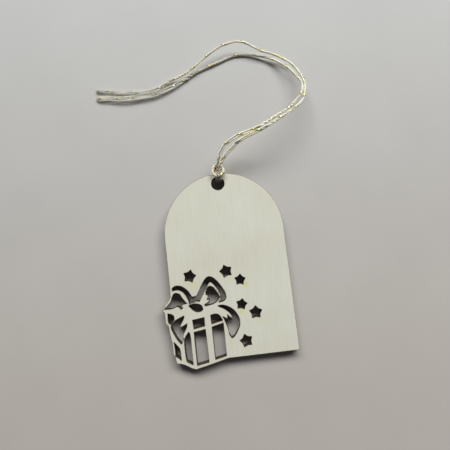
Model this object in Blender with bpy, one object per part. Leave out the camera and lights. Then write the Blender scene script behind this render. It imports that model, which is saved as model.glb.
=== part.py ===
"""Laser-cut plywood gift tag lying on a table, with a doubled string tied into its hole by a cow hitch.

The tag is drawn in its own flat frame: x to its right and y up its length from the lower left corner of the
plain blank, z from its back face. Its hitch has two strands under the top end, so the tag rests on its
bottom tip and on those strands, tilted by less than a degree. World frame: +Z up, +Y towards the hole,
origin on the table under the middle of the wooden sheet. Metres.
"""
import bpy
import bmesh
from math import atan2, cos, pi, radians, sin
from mathutils import Matrix, Vector

MM = 0.001

# Driving dimensions of the wooden sheet
TAG_WIDTH = 0.050
TAG_LENGTH = 0.0761
FACE_VENEER = 0.0011
CORE_VENEER = 0.0016
GLUE_LINE = 0.0001
HOLE_DIAMETER = 0.0056
HOLE_WEB = 0.0015
HOLE_OFF_CENTRE = -0.00035

# Driving dimensions of the cut-out figure and the stars
FIGURE_WIDTH = 0.0311
STAR_RADIUS = 0.00278
SMALL_STAR_RADIUS = 0.0024
STAR_WAIST = 0.67

# Driving dimensions of the string, which is drawn thinner where the hitch is pulled tight
STRING_DIAMETER = 0.0012
HITCH_STRAND = 0.0010
STRAND_TO_WOOD = 0.00015
STRAND_TO_STRAND = 0.00015
BUTT_GAP = 0.0003
LEGS_OFF_CENTRE = 0.0002
LEG_SPACING = 0.0016
LEG_END_OFF_CENTRE = 0.0009
LEG_END_SPACING = 0.0025
BIGHT_OFF_CENTRE = 0.0004
BIGHT_WIDTH = 0.0042
BIGHT_BEND = 0.0009
BIGHT_BELOW_TOP = 0.0002
HITCH_REACH = 0.0024

# Shape of the hitch: how far its ends have spread at two places, and how its bight turns over the top edge
SPREAD_AT_EDGE = 0.1
MID_REACH = 0.55
SPREAD_AT_MID = 0.45
BEND_START = 0.3
BEND_LIFT = 0.7
BEND_END_LIFT = 0.25

# Fineness of the curves
ARCH_STEPS = 48
HOLE_STEPS = 40
CURVE_STEPS = 3
WRAP_STEPS = 4
ROUTE_STEPS = 2
TIP_ANGLES = (30, 60)
CUT_MARGIN = 0.002

TAG_THICKNESS = 2 * FACE_VENEER + CORE_VENEER + 2 * GLUE_LINE
HOLE_CENTRE = Vector((TAG_WIDTH / 2 + HOLE_OFF_CENTRE, TAG_LENGTH - HOLE_WEB - HOLE_DIAMETER / 2))
STRAND_OFFSET = HITCH_STRAND / 2 + STRAND_TO_WOOD
STRAND_STEP = HITCH_STRAND + STRAND_TO_STRAND
FIGURE_DRAWN_WIDE = 31.1
FIGURE_UNIT = FIGURE_WIDTH / FIGURE_DRAWN_WIDE


def clear_scene():
    for item in list(bpy.data.objects):
        bpy.data.objects.remove(item, do_unlink=True)


def material(name, colour, roughness, metallic=0.0):
    made = bpy.data.materials.new(name)
    made.use_nodes = True
    shader = made.node_tree.nodes["Principled BSDF"]
    shader.inputs["Base Color"].default_value = (*colour, 1.0)
    shader.inputs["Roughness"].default_value = roughness
    shader.inputs["Metallic"].default_value = metallic
    return made


def run_through(points, steps):
    """A smooth run through the points, with both ends kept. Two points give a straight line."""
    points = [Vector(p) for p in points]
    if len(points) == 2:
        return points
    padded = [2 * points[0] - points[1]] + points + [2 * points[-1] - points[-2]]
    run = [points[0]]
    for before, here, there, after in zip(padded, padded[1:], padded[2:], padded[3:]):
        for k in range(1, steps + 1):
            t = k / steps
            linear = (there - before) * t
            square = (2 * before - 5 * here + 4 * there - after) * t**2
            cube = (3 * here - before - 3 * there + after) * t**3
            run.append((2 * here + linear + square + cube) / 2)
    return run


def outline(start, *strokes):
    """A closed outline on the figure's grid: each stroke runs smoothly from the last corner to its end."""
    corner, points = start, []
    for stroke in strokes:
        points += run_through([corner, *stroke], CURVE_STEPS)[:-1]
        corner = stroke[-1]
    if corner != start:
        points.append(Vector(corner))
    return [p * FIGURE_UNIT for p in points]


# The bow: one long slit that draws its upper edge, two loops, the knot and two tails
BOW_EDGE = outline(
    (0.8, 30.5),
    [(2.4, 31.3), (4.9, 30.8), (7.3, 28.7), (8.7, 26.1)],
    [(10.5, 26.2)],
    [(12.1, 28.7), (14.3, 32.2), (16.4, 33.6), (19.0, 32.2), (21.9, 27.8), (22.8, 24.7), (21.7, 23.0),
     (20.0, 22.6)],
    [(19.4, 22.7)],
    [(20.5, 24.2), (20.0, 27.0), (18.2, 29.9), (16.6, 31.2), (15.0, 29.2), (13.2, 26.3), (11.6, 23.8)],
    [(9.9, 24.1), (7.3, 23.3)],
    [(6.8, 25.5), (5.2, 28.3), (2.9, 29.5), (1.0, 29.2)],
)
LEFT_LOOP = outline(
    (6.4, 23.5),
    [(4.6, 23.4), (4.1, 22.8), (4.6, 22.1), (3.6, 21.4)],
    [(3.3, 22.1), (2.2, 22.8), (1.6, 22.6), (-0.1, 22.1), (-3.2, 22.2)],
    [(-1.7, 23.6), (-0.1, 25.3), (0.7, 27.3), (1.8, 28.4), (3.7, 27.8), (4.6, 26.2), (6.4, 23.5)],
)
RIGHT_LOOP = outline(
    (13.4, 22.4),
    [(14.6, 23.0), (15.7, 23.6)],
    [(15.6, 24.2)],
    [(14.6, 24.2)],
    [(15.1, 25.1), (15.3, 25.8)],
    [(14.4, 26.4)],
    [(14.8, 28.0), (16.2, 29.7), (18.0, 28.8), (19.4, 26.4), (20.0, 24.5), (18.1, 22.6), (15.6, 21.9),
     (13.7, 21.7)],
)
KNOT = outline(
    (6.9, 22.5),
    [(8.4, 23.2), (10.8, 23.0), (12.3, 22.1), (12.6, 20.3), (10.8, 19.6), (8.9, 20.3), (6.9, 22.5)],
)
RIGHT_TAIL = outline(
    (18.8, 21.3),
    [(20.5, 21.5), (22.7, 20.8), (25.2, 19.0), (27.0, 15.8), (27.1, 13.0), (26.2, 10.8), (24.5, 8.4),
     (23.2, 7.6)],
    [(22.3, 9.1), (22.1, 11.3), (21.3, 14.1), (20.4, 16.9)],
    [(22.2, 15.6)],
    [(22.4, 17.4)],
    [(23.1, 16.5), (24.3, 15.4)],
    [(24.2, 16.4), (23.2, 18.0), (21.3, 19.7), (19.7, 20.6), (18.9, 21.1)],
)
LEFT_TAIL = outline(
    (4.6, 18.9),
    [(4.5, 17.8), (3.3, 15.9), (2.3, 14.3)],
    [(3.3, 14.6), (4.7, 15.2), (5.6, 15.7)],
    [(5.2, 13.9), (3.6, 11.3), (3.2, 8.9), (2.4, 7.5)],
    [(1.1, 9.2), (-0.4, 12.2), (-1.2, 14.8), (-0.3, 16.4), (1.7, 17.8), (4.6, 18.9)],
)

# The gift box: its lid and front, each parted by the ribbon, and the side in perspective
LID_SIDE = outline(
    (-2.0, 20.5),
    [(-0.6, 20.1), (0.5, 19.2), (0.5, 17.7)],
    [(-0.1, 16.9), (-1.2, 15.8)],
    [(-2.0, 16.8), (-2.1, 18.4), (-2.0, 20.5)],
)
LID_LEFT = outline((7.8, 16.7), [(12.8, 17.3)], [(12.7, 13.7)], [(8.1, 13.0)])
LID_RIGHT = outline((15.4, 17.8), [(17.0, 18.2), (18.8, 17.8), (19.8, 16.3), (20.2, 15.1)], [(15.5, 14.2)])
FRONT_LEFT = outline((7.9, 11.8), [(12.8, 12.5)], [(12.9, -0.8)], [(7.9, -1.6)])
FRONT_RIGHT = outline((15.5, 13.1), [(20.4, 14.2)], [(20.2, 0.9)], [(15.5, -0.1)])
SIDE_NEAR = outline(
    (5.8, 12.2),
    [(6.4, 10.8), (6.4, 5.0), (6.4, -1.2)],
    [(3.8, 0.4)],
    [(3.6, 4.0), (3.6, 7.5), (4.1, 10.0), (5.8, 12.2)],
)
SIDE_FAR = outline(
    (-0.6, 8.9),
    [(0.8, 7.1), (1.7, 5.4), (1.8, 1.1)],
    [(-0.3, 3.0)],
)
FIGURE = (
    BOW_EDGE, LEFT_LOOP, RIGHT_LOOP, KNOT, RIGHT_TAIL, LEFT_TAIL, LID_SIDE, LID_LEFT, LID_RIGHT,
    FRONT_LEFT, FRONT_RIGHT, SIDE_NEAR, SIDE_FAR,
)

# The figure's own edge where it stands out past the blank, from the left side down and along the bottom
FIGURE_SIDE_FROM = (0.0, 29.1)
FIGURE_BOTTOM_TO = (20.9, 0.0)
FIGURE_EDGE = outline(
    FIGURE_SIDE_FROM,
    [(-0.3, 26.8), (-1.5, 25.0), (-3.8, 22.5)],
    [(-4.0, 21.7), (-3.2, 21.0)],
    [(-3.1, 18.3), (-3.0, 16.2)],
    [(-2.1, 15.5)],
    [(-2.0, 13.5), (-1.5, 10.2), (-1.2, 6.8), (-1.2, 4.4), (-0.5, 2.0), (-0.2, 0.1)],
    [(1.4, -0.1), (3.3, -0.9), (5.6, -2.3), (7.3, -3.0)],
    [(12.7, -1.9), FIGURE_BOTTOM_TO],
)

# Stars: centre on the figure's grid, direction of one point in degrees, radius
STARS = (
    ((8.6, 34.5), 74, STAR_RADIUS),
    ((23.8, 34.9), 104, STAR_RADIUS),
    ((29.2, 30.8), 84, SMALL_STAR_RADIUS),
    ((28.7, 20.8), 76, SMALL_STAR_RADIUS),
    ((34.1, 16.9), 88, STAR_RADIUS),
    ((28.9, 6.0), 102, STAR_RADIUS),
)

# The string's two ends on the table: x from the tag's centre line, y from its top edge, height of the
# string's centre, all in mm, from the hitch outwards
LEFT_ROUTE = (
    (1.7, 7.2, 7.5), (2.9, 9.0, 8.3), (4.3, 10.6, 9.1), (6.2, 11.9, 9.7), (8.2, 12.8, 10.3),
    (10.5, 13.7, 10.8), (12.9, 14.2, 11.2), (17.8, 15.4, 11.7), (20.4, 16.5, 11.8), (24.9, 18.8, 11.7),
    (29.1, 21.1, 11.1), (33.1, 23.3, 10.3), (35.4, 25.5, 9.7), (38.7, 29.0, 8.4), (39.8, 30.8, 7.9),
    (40.4, 32.8, 7.2), (40.5, 35.1, 6.5), (39.9, 37.2, 5.9), (37.5, 42.2, 4.3), (35.5, 44.9, 3.5),
    (31.4, 48.9, 2.3), (26.5, 51.7, 1.3), (23.0, 52.9, 0.9), (19.3, 53.9, 0.8), (15.1, 54.3, 0.7),
    (11.1, 53.6, 0.7), (7.1, 52.2, 0.7), (-0.9, 49.5, 0.7), (-4.8, 48.0, 0.7), (-8.6, 45.9, 0.8),
    (-12.8, 43.8, 0.9), (-17.1, 41.9, 1.1), (-21.3, 40.5, 1.3), (-25.8, 39.7, 1.4), (-34.8, 39.3, 1.5),
    (-39.2, 39.6, 1.5), (-43.6, 40.4, 1.3), (-48.8, 40.9, 0.9),
)
RIGHT_ROUTE = (
    (3.9, 6.6, 7.4), (5.3, 7.7, 8.1), (6.9, 8.8, 8.9), (10.4, 11.2, 10.6), (14.3, 12.6, 11.9),
    (18.1, 13.8, 12.6), (22.7, 15.5, 13.0), (29.0, 18.8, 12.6), (34.1, 21.9, 11.5), (37.5, 24.6, 10.0),
    (39.0, 26.3, 9.0), (40.5, 28.6, 7.9), (42.0, 33.5, 5.8), (42.0, 38.0, 4.4), (40.7, 42.1, 3.4),
    (38.2, 46.3, 2.8), (35.2, 48.9, 2.6), (30.5, 51.7, 2.8), (26.2, 53.3, 3.1), (24.5, 54.1, 3.3),
    (23.0, 55.1, 3.5), (19.2, 57.4, 4.0), (16.9, 58.1, 4.2), (14.5, 58.5, 4.3), (8.6, 57.4, 4.1),
    (4.9, 55.9, 3.7), (0.9, 53.7, 3.2), (-2.7, 51.3, 2.8), (-5.9, 49.2, 2.4), (-11.1, 46.8, 1.7),
    (-16.4, 45.2, 1.2), (-19.2, 43.8, 0.9), (-22.0, 42.6, 0.8), (-25.2, 41.9, 0.8), (-29.3, 41.7, 0.8),
    (-37.2, 42.3, 0.8), (-45.5, 43.8, 0.7), (-48.9, 44.6, 0.6),
)


def star(centre, direction, radius):
    """A five-pointed star, whose inner corners lie on a smaller circle."""
    corners = []
    for k in range(10):
        angle = radians(direction) + k * pi / 5
        reach = radius if k % 2 == 0 else radius * STAR_WAIST
        corners.append(Vector(centre) * FIGURE_UNIT + reach * Vector((cos(angle), sin(angle))))
    return corners


def circle(centre, radius):
    turn = 2 * pi / HOLE_STEPS
    return [centre + radius * Vector((cos(k * turn), sin(k * turn))) for k in range(HOLE_STEPS)]


def tag_outline():
    """The plain blank with its half-round top, and the figure's edge at the lower left."""
    radius = TAG_WIDTH / 2
    middle = Vector((radius, TAG_LENGTH - radius))
    points = list(FIGURE_EDGE) + [Vector((TAG_WIDTH, 0))]
    for k in range(ARCH_STEPS + 1):
        angle = pi * k / ARCH_STEPS
        points.append(middle + radius * Vector((cos(angle), sin(angle))))
    return points


def add_prism(bm, points, low, high):
    face = bm.faces.new([bm.verts.new((p.x, p.y, low)) for p in points])
    lifted = bmesh.ops.extrude_face_region(bm, geom=[face])
    top = [v for v in lifted["geom"] if isinstance(v, bmesh.types.BMVert)]
    bmesh.ops.translate(bm, vec=(0, 0, high - low), verts=top)


def prisms(name, outlines, low, high, parent):
    """One object of upright prisms, one for each outline."""
    bm = bmesh.new()
    for points in outlines:
        add_prism(bm, points, low, high)
    bmesh.ops.recalc_face_normals(bm, faces=bm.faces)
    mesh = bpy.data.meshes.new(name)
    bm.to_mesh(mesh)
    bm.free()
    made = bpy.data.objects.new(name, mesh)
    bpy.context.collection.objects.link(made)
    made.parent = parent
    return made


def tube(name, route, diameter, made_of, parent=None):
    """A round cord along the route's points, each given as a place and a share of the full radius."""
    curve = bpy.data.curves.new(name, "CURVE")
    curve.dimensions = "3D"
    curve.bevel_depth = diameter / 2
    curve.bevel_resolution = 2
    curve.use_fill_caps = True
    spline = curve.splines.new("POLY")
    spline.points.add(len(route) - 1)
    for point, (place, share) in zip(spline.points, route):
        point.co = (*place, 1)
        point.radius = share
    curve.materials.append(made_of)
    made = bpy.data.objects.new(name, curve)
    bpy.context.collection.objects.link(made)
    made.parent = parent
    return made


def rest_the_tag(outline_points):
    """The tag's own frame as it lies: tip on the table at one end, the hitch's back strands at the other."""
    tip = min(p.y for p in outline_points)
    middle_x = (min(p.x for p in outline_points) + max(p.x for p in outline_points)) / 2
    hitch_seat = hole_rim(HOLE_CENTRE.x + LEGS_OFF_CENTRE) - tip
    tilt = atan2(STRAND_OFFSET + HITCH_STRAND / 2, hitch_seat)
    length = TAG_LENGTH - tip
    middle_y = (length * cos(tilt) - TAG_THICKNESS * sin(tilt)) / 2
    rest = Matrix.Translation((0, -middle_y, 0)) @ Matrix.Rotation(tilt, 4, "X")
    return rest @ Matrix.Translation((-middle_x, -tip, 0))


def hole_rim(x):
    """How far up the tag the hole reaches at x."""
    radius = HOLE_DIAMETER / 2
    return HOLE_CENTRE.y + (max(radius**2 - (x - HOLE_CENTRE.x) ** 2, 0)) ** 0.5


def arch_edge(x):
    """How far up the tag its half-round top reaches at x."""
    radius = TAG_WIDTH / 2
    return TAG_LENGTH - radius + (radius**2 - (x - radius) ** 2) ** 0.5


def wrap(x, y, z, start, end):
    """Places round an edge of the wood at (y, z), between two directions in degrees seen from the left."""
    places = []
    for k in range(WRAP_STEPS + 1):
        angle = radians(start + (end - start) * k / WRAP_STEPS)
        places.append(Vector((x, y + STRAND_OFFSET * cos(angle), z + STRAND_OFFSET * sin(angle))))
    return places


def hitch_half(side):
    """Half of the cow hitch, from where an end leaves it to the middle of its bight. side is -1 or 1.

    The strand runs in over the front of the web, down through the hole, out behind the web and up over
    the tag's top edge, to the bight that crosses both strands in front.
    """
    centre = TAG_WIDTH / 2
    leg = centre + LEGS_OFF_CENTRE + side * LEG_SPACING / 2
    leg_end = centre + LEG_END_OFF_CENTRE + side * LEG_END_SPACING / 2
    spread = leg_end - leg
    arm = centre + BIGHT_OFF_CENTRE + side * BIGHT_WIDTH / 2
    front = TAG_THICKNESS + STRAND_OFFSET
    over = front + STRAND_STEP
    crossing = TAG_LENGTH - BIGHT_BELOW_TOP
    edge = arch_edge(arm)
    bend = BIGHT_BEND
    lead_in = run_through(
        [
            (leg_end, TAG_LENGTH + HITCH_REACH, front),
            (leg + SPREAD_AT_MID * spread, TAG_LENGTH + MID_REACH * HITCH_REACH, front),
            (leg + SPREAD_AT_EDGE * spread, TAG_LENGTH, front),
            (leg, hole_rim(leg), front),
        ],
        ROUTE_STEPS,
    )
    through_hole = wrap(leg, hole_rim(leg), TAG_THICKNESS, 90, 180) + wrap(leg, hole_rim(leg), 0, 180, 270)
    round_top = wrap(arm, edge, 0, 270, 360)
    to_bight = run_through(
        [
            (arm, edge + STRAND_OFFSET, TAG_THICKNESS / 2),
            (arm, edge + STRAND_OFFSET, over - bend),
            (arm - side * BEND_START * bend, edge + BEND_LIFT * STRAND_OFFSET, over - BEND_START * bend),
            (arm - side * bend, crossing + BEND_END_LIFT * STRAND_OFFSET, over),
            (centre + BIGHT_OFF_CENTRE, crossing, over),
        ],
        ROUTE_STEPS,
    )
    return lead_in[:-1] + through_hole + round_top + to_bight


def leg_route(start, first, places, floor_from):
    """The free end's points: a rounded tip just off the hitch, then the smooth run over the table."""
    radius = STRING_DIAMETER / 2
    points = [floor_from + Vector(p) * MM for p in places]
    outwards = (points[0] - start).normalized()
    tip = [(start - cos(radians(a)) * radius * outwards, sin(radians(a))) for a in TIP_ANGLES]
    run = run_through([start, start + first * outwards] + points, ROUTE_STEPS)
    return tip + [(p, 1.0) for p in run]


clear_scene()
PALE_WOOD = material("pale plywood face", (0.60, 0.59, 0.50), 0.75)
CORE_WOOD = material("scorched core ply", (0.035, 0.022, 0.012), 0.85)
TWINE = material("off-white twine", (0.66, 0.64, 0.50), 0.8)

OUTLINE = tag_outline()
REST = rest_the_tag(OUTLINE)
tag_frame = bpy.data.objects.new("tag_as_it_rests", None)
bpy.context.collection.objects.link(tag_frame)
tag_frame.matrix_world = REST

# The sheet: three plies, all cut through by one laser pass
cut_outs = list(FIGURE) + [star(*each) for each in STARS] + [circle(HOLE_CENTRE, HOLE_DIAMETER / 2)]
cutter = prisms("laser_cut", cut_outs, -CUT_MARGIN, TAG_THICKNESS + CUT_MARGIN, tag_frame)
cutter.hide_render = True
cutter.display_type = "WIRE"
PLIES = (
    ("back_veneer", FACE_VENEER, PALE_WOOD),
    ("core_veneer", CORE_VENEER, CORE_WOOD),
    ("face_veneer", FACE_VENEER, PALE_WOOD),
)
low = 0.0
for name, thickness, made_of in PLIES:
    ply = prisms(name, [OUTLINE], low, low + thickness, tag_frame)
    ply.data.materials.append(made_of)
    cut = ply.modifiers.new("laser cut", "BOOLEAN")
    cut.operation = "DIFFERENCE"
    cut.solver = "EXACT"
    cut.object = cutter
    low += thickness + GLUE_LINE

# The string: the tied part, then its two free ends on the table
hitch_run = hitch_half(-1)[:-1] + hitch_half(1)[::-1]
tube("hitch", [(place, 1.0) for place in hitch_run], HITCH_STRAND, TWINE, tag_frame)

swing_reach = HITCH_REACH + BUTT_GAP + STRING_DIAMETER / 2
top_on_table = REST @ Vector((TAG_WIDTH / 2, TAG_LENGTH, 0))
top_on_table.z = 0
for name, side, route in (("cord_leg_left", -1, LEFT_ROUTE), ("cord_leg_right", 1, RIGHT_ROUTE)):
    end_x = TAG_WIDTH / 2 + LEG_END_OFF_CENTRE + side * LEG_END_SPACING / 2
    start = REST @ Vector((end_x, TAG_LENGTH + swing_reach, TAG_THICKNESS + STRAND_OFFSET))
    tube(name, leg_route(start, STRING_DIAMETER, route, top_on_table), STRING_DIAMETER, TWINE)
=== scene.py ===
import math

import bpy
import numpy as np
from mathutils import Matrix, Vector


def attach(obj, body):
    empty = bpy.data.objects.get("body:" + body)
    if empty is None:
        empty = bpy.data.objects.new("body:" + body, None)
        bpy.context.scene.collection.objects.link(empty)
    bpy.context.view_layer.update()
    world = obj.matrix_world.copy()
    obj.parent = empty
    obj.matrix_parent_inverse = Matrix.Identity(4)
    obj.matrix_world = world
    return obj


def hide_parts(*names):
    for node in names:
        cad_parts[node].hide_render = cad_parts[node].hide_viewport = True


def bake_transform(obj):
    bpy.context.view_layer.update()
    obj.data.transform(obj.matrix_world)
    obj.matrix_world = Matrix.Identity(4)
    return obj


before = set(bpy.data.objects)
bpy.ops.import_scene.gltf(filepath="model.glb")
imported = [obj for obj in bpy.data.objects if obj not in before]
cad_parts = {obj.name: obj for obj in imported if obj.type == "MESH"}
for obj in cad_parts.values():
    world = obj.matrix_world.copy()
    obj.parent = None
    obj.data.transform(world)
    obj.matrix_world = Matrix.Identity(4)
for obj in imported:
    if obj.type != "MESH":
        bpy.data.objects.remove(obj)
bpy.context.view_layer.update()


# Camera
# The tag was photographed from some 15 cm above its middle with the wide lens of a telephone, so the walls
# of the cut-outs in its lower corner show along their lower and outer sides.
FOCAL_LENGTH_MM = 28.0
CAMERA_PLACE = (0.00125, 0.00341, 0.15079)
CAMERA_TURN_DEGREES = (5.517, 0.087, -6.635)

photo_lens = bpy.data.cameras.new("photo_camera")
photo_lens.lens = FOCAL_LENGTH_MM
photo_lens.sensor_width = 36.0
photo_lens.clip_start = 0.01
photo_lens.clip_end = 20.0
photo_camera = bpy.data.objects.new("photo_camera", photo_lens)
bpy.context.collection.objects.link(photo_camera)
photo_camera.location = CAMERA_PLACE
photo_camera.rotation_euler = [math.radians(a) for a in CAMERA_TURN_DEGREES]
bpy.context.scene.camera = photo_camera


# String
# One length of thin two-ply cotton twine, twisted, off-white and hairy, with a flat metallic gold strip wound
# round it in long turns. Its middle is tied into the tag's hole as a cow hitch, and both ends lie on the
# table. They were cut with scissors and have frayed over their last few centimetres, the left one more.
TWINE_LENGTH_LEFT = 0.158
TWINE_LENGTH_RIGHT = 0.164
YARN_RADIUS_MM = 0.30
YARN_OFFSET_MM = 0.24
HITCH_YARN_RADIUS_MM = 0.38
HITCH_YARN_OFFSET_MM = 0.29
YARN_TURN_MM = 2.6
YARN_STEP_MM = 0.17
YARN_SIDES = 9
HITCH_YARN_SIDES = 10
SLUB_SPACING = 0.003
SLUB_SHARE = 0.1
FRAYED_PLY_THINNING = 0.55
FRAYED_SLIVER_RADIUS_MM = 0.075
RISE_SLIVER_RADIUS_MM = 0.12
SLIVER_SIDES = 7
POINTS_PER_SLIVER_BEND = 40
FLUFF_FIBRES = 1500
FLUFF_LONGEST_MM = 0.75
FRAYED_FLUFF_FIBRES = 900
FRAYED_FLUFF_LONGEST_MM = 1.2
HITCH_FLUFF_FIBRES = 120
HITCH_FLUFF_LONGEST_MM = 0.5
CUT_FIBRES = 60
FIBRE_RADIUS = 0.00002
CUT_FIBRE_RADIUS = 0.000035
FIBRE_SIDES = 3
FIBRE_LIES_AT = 0.00004
FOIL_WIDTH_MM = 0.5
FOIL_THICKNESS_MM = 0.04
FOIL_TURN_MM = 9.2
FOIL_HURRY = 0.6
FOIL_HITCH_RUN_MM = 30.0
FOIL_SIDES = 4
YARN_SLOT = 0
FOIL_SLOT = 1

# Where the slivers lie across the gap between the plies, from one at -1 to the other at 1
FRAYED_SLIVERS = (-0.7, -0.4, -0.1, 0.2, 0.5, 0.8)
RISE_SLIVERS = (-0.45, 0.0, 0.45)

# Distances along an end in mm, from where it leaves the hitch. For the rise its twist opens and closes again,
# and its plies lie level at one place. From there on it may touch the table.
RISE_OPENS_MM = (-1, 3, 22, 32)
RISE_LEVEL_MM = 12
NEAR_TABLE_FROM_MM = 12

# Its plies slim from their size in the hitch by these shares, and are turned to be level at the cut end too
PLIES_SLIM_MM = (-3, 0, 26, 40)
PLIES_SLIMMED = (0, 0.25, 0.25, 1)
TURNED_FOR_END_MM = (40, 60)

# How the tag lies: its hitch has two strands under the top end, which lift it by less than a degree.
# Places on the tag are in mm from the plain sheet's lower left corner, z from its back face.
TAG_LEAN = math.radians(0.84912)
TAG_LIES = (
    Matrix.Translation((-0.0229963, -0.0365164, 0.0000445))
    @ Matrix.Rotation(TAG_LEAN, 4, "X")
    @ Matrix.Scale(0.001, 4)
)
TAG_TOP_MM = 76.1
SHEET_MM = 4.0
HOLE_CENTRE_MM = (24.65, 71.8)
HOLE_RADIUS_MM = 2.8
ARCH_CENTRE_MM = (25, 51.1)
ARCH_RADIUS_MM = 25
STRAND_OFF_EDGE_MM = 0.68
STRAND_OFF_RIM_MM = 0.65

# The string's two ends, from just past the tag to the cut: x from the tag's centre line, y from its top edge,
# height of the string's centre over the table, in mm
LEFT_ROUTE = (
    (1.7, 7.2, 7.5), (2.9, 9.0, 8.3), (4.3, 10.6, 9.1), (6.2, 11.9, 9.7), (8.2, 12.8, 10.3),
    (10.5, 13.7, 10.8), (12.9, 14.2, 11.2), (17.8, 15.4, 11.7), (20.4, 16.5, 11.8), (24.9, 18.8, 11.7),
    (29.1, 21.1, 11.1), (33.1, 23.3, 10.3), (35.4, 25.5, 9.7), (38.7, 29.0, 8.4), (39.8, 30.8, 7.9),
    (40.4, 32.8, 7.2), (40.5, 35.1, 6.5), (39.9, 37.2, 5.9), (37.5, 42.2, 4.3), (35.5, 44.9, 3.5),
    (31.4, 48.9, 2.3), (26.5, 51.7, 1.3), (23.0, 52.9, 0.9), (19.3, 53.9, 0.8), (15.1, 54.3, 0.7),
    (11.1, 53.6, 0.7), (7.1, 52.2, 0.7), (-0.9, 49.5, 0.7), (-4.8, 48.0, 0.7), (-8.6, 45.9, 0.8),
    (-12.8, 43.8, 0.9), (-17.1, 41.9, 1.1), (-21.3, 40.5, 1.3), (-25.8, 39.7, 1.4), (-34.8, 39.3, 1.5),
    (-39.2, 39.6, 1.5), (-43.6, 40.4, 1.3), (-48.8, 40.9, 0.9),
)
RIGHT_ROUTE = (
    (3.9, 6.6, 7.4), (5.3, 7.7, 8.1), (6.9, 8.8, 8.9), (10.4, 11.2, 10.6), (14.3, 12.6, 11.9),
    (18.1, 13.8, 12.6), (22.7, 15.5, 13.0), (29.0, 18.8, 12.6), (34.1, 21.9, 11.5), (37.5, 24.6, 10.0),
    (39.0, 26.3, 9.0), (40.5, 28.6, 7.9), (42.0, 33.5, 5.8), (42.0, 38.0, 4.4), (40.7, 42.1, 3.4),
    (38.2, 46.3, 2.8), (35.2, 48.9, 2.6), (30.5, 51.7, 2.8), (26.2, 53.3, 3.1), (24.5, 54.1, 3.3),
    (23.0, 55.1, 3.5), (19.2, 57.4, 4.0), (16.9, 58.1, 4.2), (14.5, 58.5, 4.3), (8.6, 57.4, 4.1),
    (4.9, 55.9, 3.7), (0.9, 53.7, 3.2), (-2.7, 51.3, 2.8), (-5.9, 49.2, 2.4), (-11.1, 46.8, 1.7),
    (-16.4, 45.2, 1.2), (-19.2, 43.8, 0.9), (-22.0, 42.6, 0.8), (-25.2, 41.9, 0.8), (-29.3, 41.7, 0.8),
    (-37.2, 42.3, 0.8), (-45.5, 43.8, 0.7), (-48.9, 44.6, 0.6),
)

# Where the gold strip crosses the top of each end, in mm along it from the hitch
LEFT_GLINTS = (
    0.8, 10.0, 16.5, 22.3, 31.1, 40.1, 49.8, 58.7, 66.8, 74.5, 81.8, 91.0, 104.2, 112.2, 122.6, 132.5,
    142.7, 149.5, 157.5,
)
RIGHT_GLINTS = (
    2.5, 11.7, 21.5, 31.9, 40.0, 48.3, 57.9, 67.8, 72.9, 77.5, 82.9, 91.9, 100.8, 109.4, 117.9, 128.8,
    134.8, 146.5, 157.0,
)


def smooth_line(points, gap):
    """A Catmull-Rom line through the points, laid out again at even steps of about gap."""
    p = np.array(points, float)
    p = np.vstack([2 * p[0] - p[1], p, 2 * p[-1] - p[-2]])
    t = np.linspace(0, 1, 13)[:-1, None]
    run = []
    for a, b, c, d in zip(p, p[1:], p[2:], p[3:]):
        square = (2 * a - 5 * b + 4 * c - d) * t**2
        cube = (3 * b - a - 3 * c + d) * t**3
        run.append((2 * b + (c - a) * t + square + cube) / 2)
    run = np.vstack(run + [p[-2:-1]])
    s = lengths_along(run)
    even = np.linspace(0, s[-1], max(2, round(s[-1] / gap)) + 1)
    return np.column_stack([np.interp(even, s, run[:, k]) for k in range(3)])


def lengths_along(line):
    """How far along the line each of its points lies."""
    return np.concatenate([[0], np.cumsum(np.linalg.norm(np.diff(line, axis=0), axis=1))])


def directions_along(line):
    """The way ahead at each point of the line."""
    ahead = np.gradient(line, axis=0)
    return ahead / np.linalg.norm(ahead, axis=1)[:, None]


def frames_along(line, first_up):
    """Two directions square to the line at each point, carried along it without twist."""
    ahead = directions_along(line)
    up = np.array(first_up, float)
    ups = []
    for t in ahead:
        up = up - up @ t * t
        up /= np.linalg.norm(up)
        ups.append(up)
    ups = np.array(ups)
    return ups, np.cross(ahead, ups)


def round_the_edge(x, y, z, off, angles):
    """Places off an edge of the wood, at angles in radians that turn from up the tag towards its front."""
    return [(x, y + off * math.cos(a), z + off * math.sin(a)) for a in angles]


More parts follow.
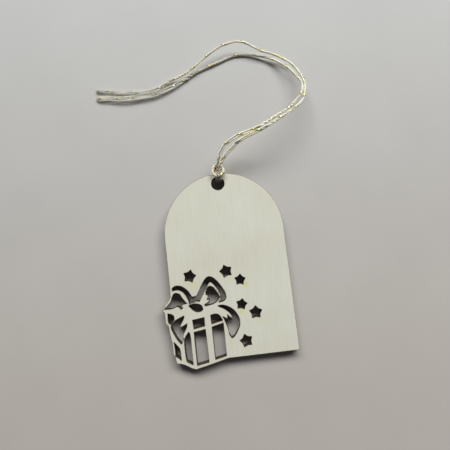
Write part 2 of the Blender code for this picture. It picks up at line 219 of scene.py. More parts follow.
def hitch_side(side):
    """From the middle of the hitch's bight round one side to where that end leaves it, on the tag, in mm.

    The bight lies across the front, swells out past the top edge on both sides, goes down behind the tag,
    and each strand then comes forward through the hole and out under the bight. side is -1 or 1.
    """
    leg, arm, swell = 25.2 + side * 0.8, 25.3 + side * 2.15, 79.35 - side * 0.15
    rim = HOLE_CENTRE_MM[1] + math.sqrt(HOLE_RADIUS_MM**2 - (leg - HOLE_CENTRE_MM[0]) ** 2)
    edge = ARCH_CENTRE_MM[1] + math.sqrt(ARCH_RADIUS_MM**2 - (arm - ARCH_CENTRE_MM[0]) ** 2)
    turned_in = 1.0 - side * 0.2
    bight = [(25.15, 75.05, 5.9), (25.2 + side * 1.3, 75.1, 5.9), (arm, 76.0, 5.7), (arm, 77.4, 5.2)]
    bight += [(arm - side * turned_in * 0.5, swell - 0.6, 4.8), (arm - side * turned_in, swell, 4.0)]
    bight += [(arm - side * turned_in, swell - 0.5, 2.8), (arm - side * 0.3, (swell + edge) / 2, 1.5)]
    behind = round_the_edge(arm, edge, 0, STRAND_OFF_EDGE_MM, (0.0, -0.5, -1.0, -math.pi / 2))
    behind.append(((arm + leg) / 2, (edge + rim) / 2, -STRAND_OFF_RIM_MM))
    hole_in = round_the_edge(leg, rim, 0, STRAND_OFF_RIM_MM, (-math.pi / 2, -2.1, -2.6, -math.pi))
    hole_in.append((leg, rim - 1.0, 2.2))
    hole_out = round_the_edge(leg, rim, SHEET_MM, STRAND_OFF_RIM_MM, (math.pi, 2.6, 2.1, math.pi / 2))
    leaves = [(leg + 0.35, TAG_TOP_MM, 4.65), (leg + 0.8, 77.8, 4.8), (leg + 1.15, 79.8, 5.15)]
    return bight + behind + hole_in + hole_out + leaves


class Strand:
    """One half of the string: its centre line from the bight's middle to its far end, in metres.

    out is each point's distance from where the end leaves the hitch, in mm. Angles round the line are in
    radians from up. Its first glint is first_glint_mm long. Over its last frays_over mm the end has opened,
    until its plies lie opens_to times as far apart.
    """

    def __init__(self, side, route, glints, first_glint_mm, frays_over, opens_to, seed):
        top = TAG_LIES @ Vector((25, TAG_TOP_MM, 0))
        on_tag = [tuple(TAG_LIES @ Vector(p)) for p in hitch_side(side)]
        on_table = [(top.x + x / 1000, top.y + y / 1000, z / 1000) for x, y, z in route]
        self.line = smooth_line(on_tag + on_table, YARN_STEP_MM / 1000)
        self.leaves = int(np.argmin(np.linalg.norm(self.line - on_tag[-1], axis=1)))
        self.s = lengths_along(self.line)
        self.out = (self.s - self.s[self.leaves]) * 1000
        self.ahead = directions_along(self.line)
        self.up, self.across = frames_along(self.line, TAG_LIES.to_3x3() @ Vector((0, 0, 1)))
        self.frayed = np.clip(2 * (self.out - (self.out[-1] - frays_over)) / frays_over, 0, 1) ** 0.8
        # The angle of the string's upper side
        sky = np.unwrap(np.arctan2(self.across[:, 2], self.up[:, 2]))
        # Where an end leaves the hitch and rises, its twist has opened: the plies lie side by side
        rise = self.rise = np.interp(self.out, RISE_OPENS_MM, (0, 1, 1, 0))
        loose = np.maximum(np.minimum(2 * self.frayed, 1), rise)
        turns = np.cumsum(np.gradient(self.s) * 1000 / YARN_TURN_MM * (1 - loose))
        self.yarn_angle = 2 * math.pi * (turns - turns[0])
        opened = int(np.argmin(abs(self.out - RISE_LEVEL_MM)))
        missing = (sky[opened] + math.pi / 2 - self.yarn_angle[opened]) % math.pi
        self.yarn_angle += missing * np.clip(self.s / self.s[self.leaves], 0, 1) + rise * (sky - sky[opened])
        # So do they at the frayed end, level with the table
        missing = (sky[-1] + math.pi / 2 - self.yarn_angle[-1]) % math.pi
        turned = np.interp(self.out, TURNED_FOR_END_MM, (0, missing))
        self.yarn_angle += turned + self.frayed * (sky - sky[-1])
        chance = np.random.default_rng(seed)
        knots = np.arange(self.s[0], self.s[-1] + SLUB_SPACING, SLUB_SPACING)
        slubs = 1 + np.interp(self.s, knots, chance.uniform(-SLUB_SHARE, SLUB_SHARE, len(knots)))
        slimmed = np.interp(self.out, PLIES_SLIM_MM, PLIES_SLIMMED)
        offset_mm = HITCH_YARN_OFFSET_MM + (YARN_OFFSET_MM - HITCH_YARN_OFFSET_MM) * slimmed
        radius_mm = HITCH_YARN_RADIUS_MM + (YARN_RADIUS_MM - HITCH_YARN_RADIUS_MM) * slimmed
        # The plies lie further apart where they have opened, on the rise more so in the left end
        spread = (1 + (opens_to - 1) * self.frayed) * (1 + (0.48 - side * 0.14) * rise)
        self.offset = offset_mm / 1000 * spread
        self.radius = radius_mm / 1000 * slubs
        self.radius *= 1 - FRAYED_PLY_THINNING * self.frayed
        # The strip hurries over the top and lingers beneath, so that it shows as short glints. The first
        # one may be stretched, where the strip lies along the top.
        marks = [-FOIL_HITCH_RUN_MM, glints[0] - first_glint_mm / 2, glints[0] + first_glint_mm / 2]
        marks += [*glints[1:], glints[-1] + FOIL_TURN_MM]
        turns = [-(FOIL_HITCH_RUN_MM + glints[0]) / FOIL_TURN_MM, -0.06, 0.06, *range(1, len(glints) + 1)]
        turn = np.interp(self.out, marks, turns)
        self.foil_turn = 2 * math.pi * turn + FOIL_HURRY * np.sin(2 * math.pi * turn)
        self.foil_angle = sky + self.foil_turn

    def outwards(self, angle):
        """The way out from each point of the line, at an angle round it."""
        return self.up * np.cos(angle)[:, None] + self.across * np.sin(angle)[:, None]

    def beside(self, angle, distance):
        """A line for a ply, off the string's line at an angle and a distance, and never into the table."""
        distance = np.broadcast_to(distance, len(self.line))[:, None]
        places = self.line + self.outwards(angle) * distance
        lowest = np.where(self.out > NEAR_TABLE_FROM_MM, self.radius, -1)
        places[:, 2] = np.maximum(places[:, 2], lowest)
        return places

    def foil(self):
        """The strip's centre line, and the way that its flat side faces."""
        outwards = self.outwards(self.foil_angle)
        # It lies on the plies at the top, and sinks between them beneath
        shows = np.clip(1.6 * np.cos(self.foil_turn) + 0.2, 0, 1)
        away = np.minimum(self.offset, YARN_OFFSET_MM / 1000) + self.radius * (0.1 + shows)
        strip = self.line + outwards * away[:, None]
        lowest = np.where(self.out > NEAR_TABLE_FROM_MM, FOIL_THICKNESS_MM / 1000, -1)
        strip[:, 2] = np.maximum(strip[:, 2], lowest)
        return strip, outwards


class Mesher:
    """Gathers tubes: points, faces, each face's material slot, and a UV for each corner, round the tube in
    turns and along it in mm."""

    def __init__(self):
        self.points, self.faces, self.slots, self.uvs = [], [], [], []
        self.count = 0

    def tube(self, line, radius, sides, slot, flat=1.0, flat_towards=None):
        """Adds a tube round the line. flat is its thickness across flat_towards, as a share of its width."""
        line = np.asarray(line)
        n = len(line)
        radius = np.broadcast_to(radius, n)
        if flat_towards is None:
            # Any first up will do that no tube starts along
            up, across = frames_along(line, (0.1, 0.2, 1.0))
        else:
            ahead = directions_along(line)
            up = flat_towards - np.einsum("ij,ij->i", flat_towards, ahead)[:, None] * ahead
            up /= np.linalg.norm(up, axis=1)[:, None]
            across = np.cross(ahead, up)
        turn = 2 * math.pi * np.arange(sides) / sides
        upwards = up[:, None] * (np.cos(turn) * flat)[None, :, None]
        sideways = across[:, None] * np.sin(turn)[None, :, None]
        around = upwards + sideways
        self.points.append((line[:, None] + around * radius[:, None, None]).reshape(-1, 3))
        along = lengths_along(line) * 1000
        ring = np.arange(sides)
        after = (ring + 1) % sides
        base = self.count + np.arange(n - 1)[:, None] * sides
        quads = np.stack([base + ring, base + after, base + sides + after, base + sides + ring], -1)
        self.faces += quads.reshape(-1, 4).tolist()
        u = np.stack([ring, ring + 1, ring + 1, ring], -1) / sides
        v = np.stack([along[:-1], along[:-1], along[1:], along[1:]], -1)
        uv = np.stack(np.broadcast_arrays(u[None], v[:, None]), -1)
        self.uvs.append(uv.reshape(-1, 2))
        for start, order, at in ((0, ring[::-1], 0.0), ((n - 1) * sides, ring, along[-1])):
            self.faces.append((self.count + start + order).tolist())
            self.uvs.append(np.column_stack([order / sides, np.full(sides, at)]))
        self.slots += [slot] * ((n - 1) * sides + 2)
        self.count += n * sides

    def made(self, name, materials):
        """The gathered tubes as one object, with a material for each slot."""
        mesh = bpy.data.meshes.new(name)
        mesh.from_pydata(np.vstack(self.points).tolist(), [], self.faces)
        for each in materials:
            mesh.materials.append(each)
        mesh.polygons.foreach_set("material_index", self.slots)
        mesh.polygons.foreach_set("use_smooth", [slot == YARN_SLOT for slot in self.slots])
        layer = mesh.uv_layers.new(name="along_the_yarn")
        layer.data.foreach_set("uv", np.vstack(self.uvs).astype(np.float32).ravel())
        mesh.update()
        made = bpy.data.objects.new(name, mesh)
        bpy.context.collection.objects.link(made)
        return made


def colour(hex_code):
    """An sRGB hex colour as linear RGBA."""
    parts = [int(hex_code[k : k + 2], 16) / 255 for k in (1, 3, 5)]
    return (*[p / 12.92 if p <= 0.04045 else ((p + 0.055) / 1.055) ** 2.4 for p in parts], 1.0)


def add(tree, kind, settings=None, **inputs):
    """Adds a node with its settings, among them a colour ramp's stops as (place, hex colour). Each input, by
    name with _ for a space or by number, is a value or an output socket to link from."""
    node = tree.nodes.new(kind)
    for key, value in (settings or {}).items():
        if key == "stops":
            elements = node.color_ramp.elements
            for place, hex_code in value:
                element = elements.new(place)
                element.color = colour(hex_code)
            elements.remove(elements[0])
            elements.remove(elements[-1])
        else:
            setattr(node, key, value)
    for key, value in inputs.items():
        socket = node.inputs[int(key[1:]) if key[1:].isdigit() else key.replace("_", " ")]
        if isinstance(value, bpy.types.NodeSocket):
            tree.links.new(value, socket)
        else:
            socket.default_value = value
    return node


def new_material(name):
    """A material with its node tree and its shader."""
    made = bpy.data.materials.new(name)
    made.use_nodes = True
    return made, made.node_tree, made.node_tree.nodes["Principled BSDF"]


# Cotton yarn, twisted: off-white, matt, with fine fibres that lie at a slant along each ply and let light
# through. They are drawn at 0.1 mm and not at their real 0.02 mm, so that they show. Patches some 3 mm long
# are a little yellower.
cotton, tree, shader = new_material("twisted_cotton_yarn")
uv = add(tree, "ShaderNodeUVMap", {"uv_map": "along_the_yarn"}).outputs[0]
slant = add(tree, "ShaderNodeMapping", Vector=uv, Scale=(9.0, 1.3, 1.0), Rotation=(0, 0, 0.5)).outputs[0]
fibres = add(tree, "ShaderNodeTexNoise", Vector=slant, Scale=1.6, Detail=4.0, Roughness=0.65).outputs["Fac"]
place = add(tree, "ShaderNodeTexCoord").outputs["Object"]
patches = add(tree, "ShaderNodeTexNoise", Vector=place, Scale=300.0, Detail=2.0).outputs["Fac"]
fibre_stops = [(0.25, "#dbcfa8"), (0.5, "#f3eed9"), (0.75, "#fefcf1")]
fibre_colour = add(tree, "ShaderNodeValToRGB", {"stops": fibre_stops}, Fac=fibres).outputs["Color"]
patch_stops = [(0.35, "#e2d7b4"), (0.62, "#ffffff")]
patch_colour = add(tree, "ShaderNodeValToRGB", {"stops": patch_stops}, Fac=patches).outputs["Color"]
blend = {"data_type": "RGBA"}
multiply = {"data_type": "RGBA", "blend_type": "MULTIPLY"}
tint = add(tree, "ShaderNodeMix", multiply, _0=0.6, _6=fibre_colour, _7=patch_colour).outputs[2]
# Painted shade, with some soot from the hole's charred rim: dark brown where the two ends come out from under
# the bight and lie in its shade. It fades with each millimetre from that place, less quickly along the tag.
SHADE_AND_SOOT_CENTRE = TAG_LIES @ Vector((25.4, 77.9, 4.5))
SHADE_AND_SOOT_SCALE = (1000.0, 700.0, 1000.0)
shade_and_soot_offset = [-scale * at for scale, at in zip(SHADE_AND_SOOT_SCALE, SHADE_AND_SOOT_CENTRE)]
from_shade_and_soot = add(tree, "ShaderNodeMapping", Vector=place, Location=shade_and_soot_offset, Scale=SHADE_AND_SOOT_SCALE).outputs[0]
mm_off = add(tree, "ShaderNodeVectorMath", {"operation": "LENGTH"}, Vector=from_shade_and_soot).outputs["Value"]
fading = add(tree, "ShaderNodeMath", {"operation": "POWER"}, _0=0.45, _1=mm_off).outputs[0]
painted_shade_and_soot = add(tree, "ShaderNodeMath", {"operation": "MULTIPLY", "use_clamp": True}, _0=fading, _1=1.8).outputs[0]
# Dark brown painted shade, with some soot, mixed into the yarn's colour
with_painted_shade_and_soot = add(tree, "ShaderNodeMix", blend, _0=painted_shade_and_soot, _6=tint, _7=colour("#5a4322")).outputs[2]
tree.links.new(with_painted_shade_and_soot, shader.inputs["Base Color"])
bump = add(tree, "ShaderNodeBump", Height=fibres, Strength=0.5, Distance=0.00008)
tree.links.new(bump.outputs[0], shader.inputs["Normal"])
shader.inputs["Roughness"].default_value = 0.85
shader.inputs["Sheen Weight"].default_value = 0.5
shader.inputs["Subsurface Weight"].default_value = 1.0
shader.inputs["Subsurface Scale"].default_value = 0.0011
shader.inputs["Subsurface Radius"].default_value = (1.0, 0.84, 0.58)

# Metallised polyester strip, slit 0.5 mm wide: pale gold under a clear film, creased across every half
# millimetre by the winding, so it glints in spots. The dark olive between them is partly a painted
# reflection.
foil, tree, shader = new_material("metallised_gold_strip")
uv = add(tree, "ShaderNodeUVMap", {"uv_map": "along_the_yarn"}).outputs[0]
creases = add(tree, "ShaderNodeMapping", Vector=uv, Scale=(1.0, 1.7, 1.0)).outputs[0]
crumple = add(tree, "ShaderNodeTexNoise", Vector=creases, Scale=1.4, Detail=3.0).outputs["Fac"]
# The darkest stop, dark olive, is a painted reflection of the dark room in the metal
gold_and_painted_dark_stops = [(0.38, "#453f1e"), (0.5, "#c0b778"), (0.68, "#d9d3a4")]
gold_and_painted_dark = add(tree, "ShaderNodeValToRGB", {"stops": gold_and_painted_dark_stops}, Fac=crumple).outputs["Color"]
tree.links.new(gold_and_painted_dark, shader.inputs["Base Color"])
bump = add(tree, "ShaderNodeBump", Height=crumple, Strength=0.3, Distance=0.0001)
tree.links.new(bump.outputs[0], shader.inputs["Normal"])
shader.inputs["Metallic"].default_value = 1.0
shader.inputs["Roughness"].default_value = 0.3
shader.inputs["Coat Weight"].default_value = 0.3
shader.inputs["Coat Roughness"].default_value = 0.15

left = Strand(-1, LEFT_ROUTE, LEFT_GLINTS, first_glint_mm=4.5, frays_over=46.0, opens_to=4.0, seed=21)
right = Strand(1, RIGHT_ROUTE, RIGHT_GLINTS, first_glint_mm=1.0, frays_over=36.0, opens_to=2.5, seed=22)


def add_fluff(mesher, strand, count, first, last, seed, longest_mm):
    """Loose fibres that stand off the yarn in short arcs, some lying along it. first and last are in mm."""
    chance = np.random.default_rng(seed)
    span = np.flatnonzero((strand.out >= first) & (strand.out <= last))
    for at in chance.choice(span, count):
        angle = chance.uniform(0, 2 * math.pi)
        side = strand.up[at] * math.cos(angle) + strand.across[at] * math.sin(angle)
        reach = chance.uniform(0.2, longest_mm) / 1000
        root = strand.line[at] + side * (strand.offset[at] + 0.5 * strand.radius[at])
        tip = root + side * reach * chance.uniform(0.2, 0.8)
        tip += strand.ahead[at] * reach * chance.uniform(-1.5, 1.5)
        middle = (root + tip) / 2 + side * reach * 0.25
        hair = smooth_line([root, middle, tip], reach / 2)
        if strand.out[at] > NEAR_TABLE_FROM_MM:
            hair[:, 2] = np.maximum(hair[:, 2], FIBRE_LIES_AT)
        mesher.tube(hair, FIBRE_RADIUS, FIBRE_SIDES, YARN_SLOT)


for name, strand, length, seed in (
    ("cord_leg_left", left, TWINE_LENGTH_LEFT, 11),
    ("cord_leg_right", right, TWINE_LENGTH_RIGHT, 12),
):
    mesher = Mesher()
    first = strand.leaves - 1
    for turn in (0, math.pi):
        yarn = strand.beside(strand.yarn_angle + turn, strand.offset)
        mesher.tube(yarn[first:], strand.radius[first:], YARN_SIDES, YARN_SLOT)
    # Where the string has opened, slivers of the plies lie loosely across the gap between them
    chance = np.random.default_rng(seed + 30)
    for opened, shares, sliver_mm in (
        (strand.frayed, FRAYED_SLIVERS, FRAYED_SLIVER_RADIUS_MM),
        (strand.rise, RISE_SLIVERS, RISE_SLIVER_RADIUS_MM),
    ):
        span = np.flatnonzero(opened > 0)
        span = span[span >= first]
        for share in shares:
            bends_at = strand.out[::POINTS_PER_SLIVER_BEND]
            wander = np.interp(strand.out, bends_at, chance.uniform(-0.25, 0.25, len(bends_at)))
            sliver = strand.beside(strand.yarn_angle, strand.offset * np.clip(share + wander, -1, 1))
            sliver_radius = sliver_mm / 1000 * np.interp(opened, (0, 0.3, 1), (0.2, 0.8, 1))
            mesher.tube(sliver[span], sliver_radius[span], SLIVER_SIDES, YARN_SLOT)
    strip, outwards = strand.foil()
    flat = FOIL_THICKNESS_MM / FOIL_WIDTH_MM
    mesher.tube(strip[first:], FOIL_WIDTH_MM / 2000, FOIL_SIDES, FOIL_SLOT, flat, outwards[first:])
    add_fluff(mesher, strand, FLUFF_FIBRES, 0.0, strand.out[-1], seed, FLUFF_LONGEST_MM)
    frays_from, cut_at = strand.out[np.argmax(strand.frayed > 0)], strand.out[-1]
    add_fluff(mesher, strand, FRAYED_FLUFF_FIBRES, frays_from, cut_at, seed + 10, FRAYED_FLUFF_LONGEST_MM)
    # The cut end: fibres fan out for about a millimetre past the plies
    chance = np.random.default_rng(seed + 20)
    for _ in range(CUT_FIBRES):
        angle, spread = chance.uniform(0, 2 * math.pi), chance.uniform(0.05, 0.5) / 1000
        side = strand.up[-1] * math.cos(angle) + strand.across[-1] * math.sin(angle)
        root = strand.line[-4] + side * spread * 0.7
        tip = strand.line[-1] + strand.ahead[-1] * chance.uniform(0.2, 1.1) / 1000 + side * spread * 1.6
        hair = smooth_line([root, (root + tip) / 2 + side * 0.0001, tip], 0.0003)
        hair[:, 2] = np.maximum(hair[:, 2], FIBRE_LIES_AT)
        mesher.tube(hair, CUT_FIBRE_RADIUS, FIBRE_SIDES, YARN_SLOT)
    leg = mesher.made(name.replace("cord_leg", "twine"), [cotton, foil])
    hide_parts(name)
    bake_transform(leg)

# The tied part: the same two plies and gold strip without a break from one end, round the web, to the other
mesher = Mesher()
end = left.leaves + 1
for turn in (0, math.pi):
    one = left.beside(left.yarn_angle + turn, left.offset)[:end]
    other = right.beside(right.yarn_angle + turn, right.offset)[:end]
    yarn = np.vstack([one[::-1], other[1:]])
    yarn_radius = np.concatenate([left.radius[:end][::-1], right.radius[1:end]])
    mesher.tube(yarn, yarn_radius, HITCH_YARN_SIDES, YARN_SLOT)
for strand, seed in ((left, 31), (right, 32)):
    strip, outwards = strand.foil()
    end = strand.leaves + 1
    flat = FOIL_THICKNESS_MM / FOIL_WIDTH_MM
    mesher.tube(strip[:end], FOIL_WIDTH_MM / 2000, FOIL_SIDES, FOIL_SLOT, flat, outwards[:end])
    add_fluff(mesher, strand, HITCH_FLUFF_FIBRES, strand.out[0], 0.0, seed, HITCH_FLUFF_LONGEST_MM)
hitch = mesher.made("twine_hitch", [cotton, foil])
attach(hitch, "tag")
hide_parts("hitch")


# Plywood sheet
# Three plies of pale basswood-faced plywood, 4 mm thick in all, cut out by a laser in one pass. The beam
# leaves the faces clean but for a toasted line along each cut and a little yellow smoke beside some of them,
# and burns the cut walls dark brown. The plies are glued, so the core keeps its modelled shape; the two
# faces are cut again from a finer sheet, which carries the toasting and the smoke.
FACE_VENEER_MM = 1.1
GRID_MM = (56, 82)
GRID_CENTRE_MM = (23, 36.6)
CELL_MM = 1.2
# Up to this x and y, where the figure and the smoke are, the cells are half as large
FINE_CELLS_END_MM = (36.5, 37.5)
# Smoke on the front: x, y on the sheet, how far it spreads in mm, how strong it is
SMOKE = (
    (31.3, 28.7, 1.1, 1.0), (28.3, 17.9, 1.2, 0.8), (25.4, 32.0, 1.2, 0.45), (9.6, 31.0, 1.4, 0.5),
    (35.2, 13.6, 1.3, 0.3), (29.2, 2.2, 1.1, 0.3), (13.0, 28.6, 1.8, 0.2), (22.5, 5.2, 1.2, 0.2),
)


def cut_veneer(name, node, low_mm):
    """A fine grid of the veneer's thickness, cut to the outline of the ply that it stands for."""
    bpy.ops.object.select_all(action="DESELECT")
    bpy.ops.mesh.primitive_grid_add(
        x_subdivisions=round(GRID_MM[0] / CELL_MM),
        y_subdivisions=round(GRID_MM[1] / CELL_MM),
        size=1,
        location=(*GRID_CENTRE_MM, low_mm),
    )
    veneer = bpy.context.object
    veneer.name = name
    veneer.scale = (*GRID_MM, 1)
    bpy.ops.object.transform_apply(location=True, rotation=False, scale=True)
    bpy.ops.object.mode_set(mode="EDIT")
    bpy.ops.mesh.select_all(action="DESELECT")
    bpy.ops.object.mode_set(mode="OBJECT")
    for polygon in veneer.data.polygons:
        x, y, _ = polygon.center
        polygon.select = x < FINE_CELLS_END_MM[0] and y < FINE_CELLS_END_MM[1]
    bpy.ops.object.mode_set(mode="EDIT")
    bpy.ops.mesh.subdivide(number_cuts=1)
    bpy.ops.mesh.select_all(action="SELECT")
    bpy.ops.mesh.extrude_region_move(TRANSFORM_OT_translate={"value": (0, 0, FACE_VENEER_MM)})
    bpy.ops.mesh.select_all(action="SELECT")
    bpy.ops.mesh.normals_make_consistent(inside=False)
    bpy.ops.object.mode_set(mode="OBJECT")

    # The ply's own outline, drawn a millimetre past both faces of the veneer, is the cutter
    outline = node.copy()
    outline.data = node.data.copy()
    bpy.context.collection.objects.link(outline)
    outline.data.transform(TAG_LIES.inverted())
    for vert in outline.data.vertices:
        vert.co.z = low_mm + FACE_VENEER_MM + 1 if vert.co.z > low_mm + FACE_VENEER_MM / 2 else low_mm - 1
    bpy.ops.object.select_all(action="DESELECT")
    outline.select_set(True)
    bpy.context.view_layer.objects.active = outline
    bpy.ops.object.mode_set(mode="EDIT")
    bpy.ops.mesh.select_all(action="SELECT")
    bpy.ops.mesh.remove_doubles(threshold=0.001)
    bpy.ops.mesh.normals_make_consistent(inside=False)
    bpy.ops.object.mode_set(mode="OBJECT")

    veneer.select_set(True)
    bpy.context.view_layer.objects.active = veneer
    cut = veneer.modifiers.new("laser cut", "BOOLEAN")
    cut.operation = "INTERSECT"
    cut.solver = "EXACT"
    cut.object = outline
    bpy.ops.object.modifier_apply(modifier=cut.name)
    bpy.data.objects.remove(outline, do_unlink=True)
    return veneer


def mark_the_burn(veneer, smoke_marks):
    """Stores each point's distance to the nearest cut in mm, and the smoke that it caught."""
    mesh = veneer.data
    co = np.empty(len(mesh.vertices) * 3, np.float32)
    mesh.vertices.foreach_get("co", co)
    co = co.reshape(-1, 3).astype(float)
    ends = []
    for polygon in mesh.polygons:
        if abs(polygon.normal.z) < 0.5:
            corners = [co[k, :2] for k in polygon.vertices]
            ends += [(a, b) for a, b in zip(corners, corners[1:] + corners[:1]) if abs(a - b).max() > 1e-4]
    ends = np.array(ends)
    start, run = ends[:, 0], ends[:, 1] - ends[:, 0]
    squared = np.maximum((run**2).sum(1), 1e-12)
    nearest = np.empty(len(co))
    # In parts, to spare memory
    for part in np.array_split(np.arange(len(co)), 60):
        from_start = co[part][:, None, :2] - start
        share = np.clip((from_start * run).sum(2) / squared, 0, 1)
        nearest[part] = np.linalg.norm(from_start - run * share[..., None], axis=2).min(1)
    smoke = np.zeros(len(co))
    for x, y, spread, strength in smoke_marks:
        smoke += strength * np.exp(-((co[:, 0] - x) ** 2 + (co[:, 1] - y) ** 2) / spread**2)
    for name, values in (("mm_to_cut", nearest), ("smoke", np.clip(smoke, 0, 1))):
        layer = mesh.attributes.new(name, "FLOAT", "POINT")
        layer.data.foreach_set("value", values.astype(np.float32))


# Basswood face veneer, sanded, unfinished: even pale cream with faint lengthwise grain, matt. The grain is
# drawn at 0.4 mm; the toasted line beside a cut is 0.1 to 0.3 mm wide.
basswood, tree, shader = new_material("sanded_basswood_veneer")
place = add(tree, "ShaderNodeTexCoord").outputs["Object"]
along = add(tree, "ShaderNodeMapping", Vector=place, Scale=(2500.0, 110.0, 2500.0)).outputs[0]
grain_settings = {"Scale": 1.0, "Detail": 5.0, "Roughness": 0.6, "Distortion": 0.4}
grain = add(tree, "ShaderNodeTexNoise", Vector=along, **grain_settings).outputs["Fac"]
broad = add(tree, "ShaderNodeTexNoise", Vector=place, Scale=45.0, Detail=2.0).outputs["Fac"]
grain_stops = [(0.3, "#cacabb"), (0.5, "#cfcfc1"), (0.72, "#d2d2c6")]
grain_colour = add(tree, "ShaderNodeValToRGB", {"stops": grain_stops}, Fac=grain).outputs["Color"]
broad_stops = [(0.3, "#f8f6f2"), (0.7, "#ffffff")]
broad_colour = add(tree, "ShaderNodeValToRGB", {"stops": broad_stops}, Fac=broad).outputs["Color"]
pale = add(tree, "ShaderNodeMix", multiply, _0=1.0, _6=grain_colour, _7=broad_colour).outputs[2]
smoke = add(tree, "ShaderNodeAttribute", {"attribute_name": "smoke"}).outputs["Fac"]
smoked = add(tree, "ShaderNodeMix", blend, _0=smoke, _6=pale, _7=colour("#cbc784")).outputs[2]
to_cut = add(tree, "ShaderNodeAttribute", {"attribute_name": "mm_to_cut"}).outputs["Fac"]
uneven = add(tree, "ShaderNodeTexNoise", Vector=place, Scale=900.0, Detail=2.0).outputs["Fac"]
reach = add(tree, "ShaderNodeMath", {"operation": "MULTIPLY_ADD"}, _0=uneven, _1=0.4, _2=0.02).outputs[0]
divide = {"operation": "DIVIDE", "use_clamp": True}
clean = add(tree, "ShaderNodeMath", divide, _0=to_cut, _1=reach).outputs[0]
toasted = add(tree, "ShaderNodeMix", blend, _0=clean, _6=colour("#5a4529"), _7=smoked).outputs[2]
tree.links.new(toasted, shader.inputs["Base Color"])
bump = add(tree, "ShaderNodeBump", Height=grain, Strength=0.15, Distance=0.00005)
tree.links.new(bump.outputs[0], shader.inputs["Normal"])
shader.inputs["Roughness"].default_value = 0.7
shader.inputs["Specular IOR Level"].default_value = 0.3

# The laser's cut wall: charred dark brown, with upright streaks some 0.4 mm apart where the beam pulsed and
# lighter brown where the char is thin.
charred, tree, shader = new_material("laser_charred_edge")
place = add(tree, "ShaderNodeTexCoord").outputs["Object"]
upright = add(tree, "ShaderNodeMapping", Vector=place, Scale=(2600.0, 2600.0, 260.0)).outputs[0]
streaks = add(tree, "ShaderNodeTexNoise", Vector=upright, Scale=1.0, Detail=4.0, Roughness=0.6).outputs["Fac"]
char_stops = [(0.32, "#17110b"), (0.52, "#33281b"), (0.72, "#6a5335")]
char = add(tree, "ShaderNodeValToRGB", {"stops": char_stops}, Fac=streaks).outputs["Color"]
tree.links.new(char, shader.inputs["Base Color"])
bump = add(tree, "ShaderNodeBump", Height=streaks, Strength=0.5, Distance=0.0001)
tree.links.new(bump.outputs[0], shader.inputs["Normal"])
shader.inputs["Roughness"].default_value = 0.75

for name, low_mm in (("back_veneer", 0.0), ("face_veneer", SHEET_MM - FACE_VENEER_MM)):
    veneer = cut_veneer("plywood_" + name[:4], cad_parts[name], low_mm)
    mark_the_burn(veneer, SMOKE if name == "face_veneer" else ())
    veneer.data.materials.clear()
    veneer.data.materials.append(basswood)
    veneer.data.materials.append(charred)
    for polygon in veneer.data.polygons:
        polygon.material_index = 0 if abs(polygon.normal.z) > 0.5 else 1
    veneer.data.transform(TAG_LIES)
    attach(veneer, "tag")
    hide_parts(name)
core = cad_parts["core_veneer"]
core.data.materials.clear()
core.data.materials.append(charred)


# Table and light
# The photograph's pale grey tabletop, lit by one wide, low window beyond the tag's top end, so that shadows
# fall towards its foot. The room behind is a pale grey that the lamp doesn't light.
TABLE_SIZE = 3.0
bpy.ops.object.select_all(action="DESELECT")
bpy.ops.mesh.primitive_plane_add(size=TABLE_SIZE, location=(0, 0, 0))
table = bpy.context.object
table.name = "table"

# Painted board, rolled: matt, with faint patches of 3 cm. Its colour also holds painted light: a shade
# lighter and cooler towards the window
tabletop, tree, shader = new_material("painted_tabletop")
place = add(tree, "ShaderNodeTexCoord").outputs["Object"]
mottle = add(tree, "ShaderNodeTexNoise", Vector=place, Scale=30.0, Detail=3.0).outputs["Fac"]
up_the_table = add(tree, "ShaderNodeSeparateXYZ", Vector=place).outputs["Y"]
scale_and_shift = {"operation": "MULTIPLY_ADD", "use_clamp": True}
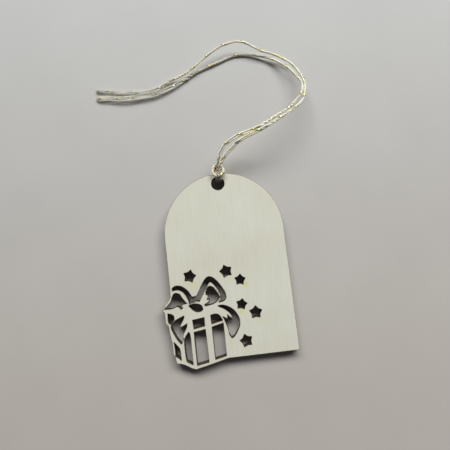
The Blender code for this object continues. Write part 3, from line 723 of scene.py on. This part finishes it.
# Painted light: the colour turns lighter and cooler up the table, towards the window
window_light_share = add(tree, "ShaderNodeMath", scale_and_shift, _0=up_the_table, _1=5.0, _2=0.3).outputs[0]
paint_and_painted_light_stops = [(0.02, "#b3ada6"), (0.98, "#b7b8b6")]
paint_with_painted_light = add(tree, "ShaderNodeValToRGB", {"stops": paint_and_painted_light_stops}, Fac=window_light_share).outputs["Color"]
mottle_stops = [(0.3, "#fafafa"), (0.7, "#ffffff")]
mottle_colour = add(tree, "ShaderNodeValToRGB", {"stops": mottle_stops}, Fac=mottle).outputs["Color"]
mottled = add(tree, "ShaderNodeMix", multiply, _0=1.0, _6=paint_with_painted_light, _7=mottle_colour).outputs[2]
tree.links.new(mottled, shader.inputs["Base Color"])
shader.inputs["Roughness"].default_value = 0.7
table.data.materials.append(tabletop)

# The lamp looks straight at the origin, under the middle of the tag
WINDOW_PLACE = Vector((0.30, 1.20, 1.18))
WINDOW_WIDTH = 2.4
WINDOW_HEIGHT = 0.6
WINDOW_WATTS = 52.0
window = bpy.data.lights.new("window_light", "AREA")
window.shape = "RECTANGLE"
window.size = WINDOW_WIDTH
window.size_y = WINDOW_HEIGHT
window.energy = WINDOW_WATTS
window_frame = bpy.data.objects.new("window_light", window)
bpy.context.collection.objects.link(window_frame)
window_frame.location = WINDOW_PLACE
window_frame.rotation_euler = WINDOW_PLACE.to_track_quat("Z", "Y").to_euler()

# The room gives the object little light, but is seen, also in the gold strip, as a pale wall
ROOM_LIGHT = 0.06
ROOM_SEEN = 0.55
world = bpy.data.worlds.new("room")
world.use_nodes = True
tree = world.node_tree
room = tree.nodes["Background"]
room.inputs["Color"].default_value = colour("#d9dcde")
rays = add(tree, "ShaderNodeLightPath").outputs
either = {"operation": "MAXIMUM"}
direct = add(tree, "ShaderNodeMath", either, _0=rays["Is Camera Ray"], _1=rays["Is Glossy Ray"]).outputs[0]
seen = add(tree, "ShaderNodeMath", either, _0=direct, _1=rays["Is Transmission Ray"]).outputs[0]
into_range = {"operation": "MULTIPLY_ADD"}
more = ROOM_SEEN - ROOM_LIGHT
strength = add(tree, "ShaderNodeMath", into_range, _0=seen, _1=more, _2=ROOM_LIGHT).outputs[0]
tree.links.new(strength, room.inputs["Strength"])
bpy.context.scene.world = world
bpy.context.scene.view_settings.view_transform = "Standard"
